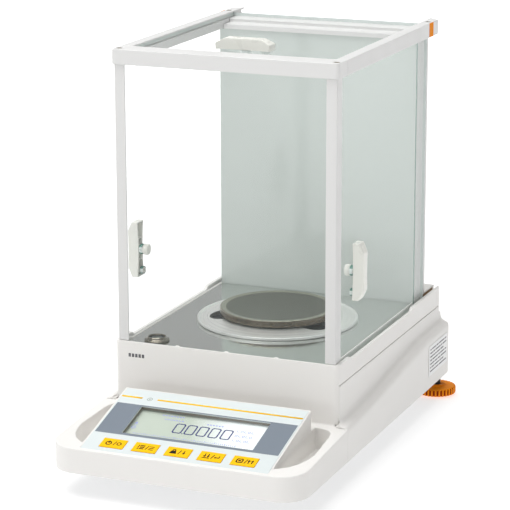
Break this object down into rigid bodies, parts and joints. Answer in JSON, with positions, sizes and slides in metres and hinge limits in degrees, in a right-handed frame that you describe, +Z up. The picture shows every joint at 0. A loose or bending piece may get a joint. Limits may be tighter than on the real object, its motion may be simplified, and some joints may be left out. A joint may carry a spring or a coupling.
{
  "type": "analytical balance",
  "caption": "Analytical balance with a tilted front control panel, round steel pan and a glass draught shield with sliding side and top doors.",
  "frame": {"origin": "centre of the overall footprint, on the surface that the balance stands on", "axes": "+Z up, the control panel faces -Y, +X to the right of a user facing the panel"},
  "size_m": [0.2302, 0.3801, 0.348],
  "materials": {
    "shell": "fine moulded texture, semi-matt",
    "frame_white": "smooth white lacquer",
    "overlay": "printed polyester foil, satin",
    "key_yellow": "printed polyester foil over rubber, satin",
    "lcd": "reflective liquid crystal panel",
    "clear_window": "clear acrylic",
    "circuit_board": "solder mask",
    "black_plastic": "moulded nylon",
    "port_metal": "nickel plated",
    "cast_aluminium": "sand cast, machined faces",
    "satin_steel": "satin stainless steel",
    "pan_steel": "polished stainless steel",
    "chrome": "polished",
    "magnet_steel": "zinc plated",
    "winding": "lacquered winding and core",
    "sheet_glass": "clear float glass with green edges",
    "grip_ivory": "smooth moulding",
    "label_paper": "blank white film label",
    "wheel_orange": "moulded, satin",
    "mark_orange": "satin",
    "stud_steel": "blackened steel",
    "screw_steel": "plated steel",
    "foot_rubber": "matt rubber"
  },
  "bodies": {
    "housing": {"front_housing": "shell", "panel_overlay": "overlay", "display_window": "clear_window", "lcd_module": "lcd", "key_board": "circuit_board", "rear_housing": "shell", "power_inlet": "black_plastic", "data_port": "port_metal", "base_plate": "cast_aluminium", "upper_chassis": "shell", "floor_plate": "satin_steel", "draft_ring": "satin_steel", "pan_carrier": "chrome", "level_bezel": "chrome", "level_vial": "clear_window", "cell_body": "cast_aluminium", "cell_lever": "cast_aluminium", "cell_magnet": "magnet_steel", "main_board": "circuit_board", "transformer": "winding", "front_rail": "frame_white", "rear_rail": "frame_white", "front_glass": "sheet_glass", "rear_glass": "sheet_glass", "rating_label": "label_paper", "left_front_foot": "foot_rubber", "left_front_post": "frame_white", "left_rear_post": "frame_white", "left_rail": "frame_white", "left_rail_mark": "mark_orange", "right_front_foot": "foot_rubber", "right_front_post": "frame_white", "right_rear_post": "frame_white", "right_rail": "frame_white", "right_rail_mark": "mark_orange", "front_left_screw": "screw_steel", "front_right_screw": "screw_steel", "rear_left_screw": "screw_steel", "rear_right_screw": "screw_steel"},
    "left_door": {"left_door_glass": "sheet_glass", "left_grip": "grip_ivory", "left_knob": "grip_ivory"},
    "right_door": {"right_door_glass": "sheet_glass", "right_grip": "grip_ivory", "right_knob": "grip_ivory"},
    "top_door": {"top_glass": "sheet_glass", "top_grip": "grip_ivory", "top_knob": "grip_ivory"},
    "pan": {"weighing_pan": "pan_steel"},
    "left_foot": {"left_level_stud": "stud_steel"},
    "right_foot": {"right_level_stud": "stud_steel"},
    "left_foot_wheel": {"left_level_wheel": "wheel_orange"},
    "right_foot_wheel": {"right_level_wheel": "wheel_orange"},
    "key_1": {"key_1": "key_yellow"},
    "key_2": {"key_2": "key_yellow"},
    "key_3": {"key_3": "key_yellow"},
    "key_4": {"key_4": "key_yellow"},
    "key_5": {"key_5": "key_yellow"}
  },
  "joints": [
    {"name": "left_door_slide", "type": "slide", "parent": "housing", "child": "left_door", "axis": [0, 1, 0], "range_m": [0, 0.154]},
    {"name": "right_door_slide", "type": "slide", "parent": "housing", "child": "right_door", "axis": [0, 1, 0], "range_m": [0, 0.154]},
    {"name": "top_door_slide", "type": "slide", "parent": "housing", "child": "top_door", "axis": [0, 1, 0], "range_m": [0, 0.15]},
    {"name": "pan_lift", "type": "slide", "parent": "housing", "child": "pan", "axis": [0, 0, 1], "range_m": [0, 0.06]},
    {"name": "key_1_press", "type": "slide", "parent": "housing", "child": "key_1", "axis": [0, 0.2613, -0.9652], "range_m": [0, 0.0008], "stiffness_N_per_m": 1500},
    {"name": "key_2_press", "type": "slide", "parent": "housing", "child": "key_2", "axis": [0, 0.2613, -0.9652], "range_m": [0, 0.0008], "stiffness_N_per_m": 1500},
    {"name": "key_3_press", "type": "slide", "parent": "housing", "child": "key_3", "axis": [0, 0.2613, -0.9652], "range_m": [0, 0.0008], "stiffness_N_per_m": 1500},
    {"name": "key_4_press", "type": "slide", "parent": "housing", "child": "key_4", "axis": [0, 0.2613, -0.9652], "range_m": [0, 0.0008], "stiffness_N_per_m": 1500},
    {"name": "key_5_press", "type": "slide", "parent": "housing", "child": "key_5", "axis": [0, 0.2613, -0.9652], "range_m": [0, 0.0008], "stiffness_N_per_m": 1500},
    {"name": "left_foot_height", "type": "slide", "parent": "housing", "child": "left_foot", "axis": [0, 0, 1], "range_m": [-0.004, 0.005]},
    {"name": "left_foot_turn", "type": "hinge", "parent": "left_foot", "child": "left_foot_wheel", "pos_m": [-0.0975, 0.17245, 0.005], "axis": [0, 0, 1], "range_deg": [-1152, 1440]},
    {"name": "right_foot_height", "type": "slide", "parent": "housing", "child": "right_foot", "axis": [0, 0, 1], "range_m": [-0.004, 0.005]},
    {"name": "right_foot_turn", "type": "hinge", "parent": "right_foot", "child": "right_foot_wheel", "pos_m": [0.0975, 0.17245, 0.005], "axis": [0, 0, 1], "range_deg": [-1152, 1440]}
  ],
  "couplings": [
    {"joint": "left_foot_turn", "follows": "left_foot_height", "rad_per_m": 5026.5},
    {"joint": "right_foot_turn", "follows": "right_foot_height", "rad_per_m": 5026.5}
  ]
}
